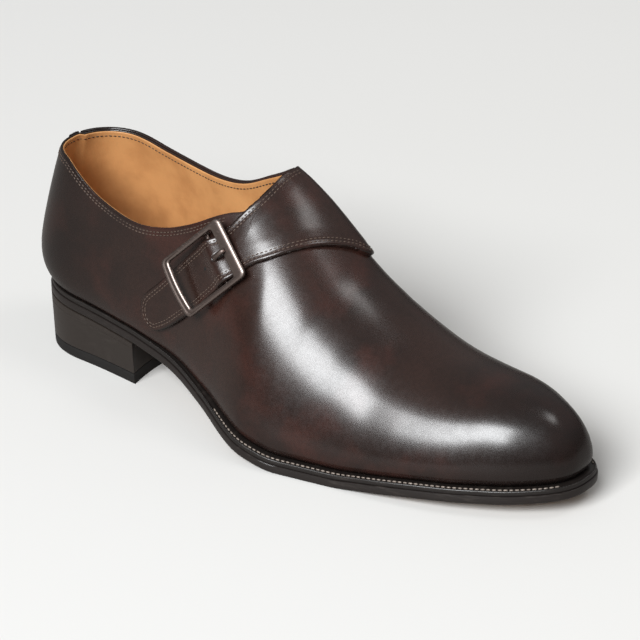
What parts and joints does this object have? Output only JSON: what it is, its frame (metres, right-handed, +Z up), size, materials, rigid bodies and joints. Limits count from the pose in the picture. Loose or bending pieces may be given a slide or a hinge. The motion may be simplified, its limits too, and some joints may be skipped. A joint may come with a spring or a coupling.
{
  "type": "monk strap shoe",
  "caption": "Right monk strap dress shoe: hollow leather upper, instep strap with a buckle, welt, arched sole and stacked heel.",
  "frame": {"origin": "centre of the bounding box's bottom face, on the floor under the middle of the shoe", "axes": "+X towards the toe, +Y towards the inner side of the foot, +Z up"},
  "size_m": [0.31, 0.1056, 0.1185],
  "materials": {
    "upper_leather": "dark brown, polished to a soft gloss",
    "sole_leather": "dark brown edge, satin",
    "insole_leather": "natural tan, matte",
    "heel_rubber": "black, matte",
    "buckle_metal": "dark gunmetal with a slight bronze tint, polished"
  },
  "bodies": {
    "root": {"outsole": "sole_leather", "welt": "sole_leather", "heel_stack": "sole_leather", "heel_top_piece": "heel_rubber", "insole": "insole_leather", "upper": "upper_leather", "quarter_strap": "upper_leather", "buckle_frame": "buckle_metal", "buckle_prong": "buckle_metal"}
  },
  "joints": []
}
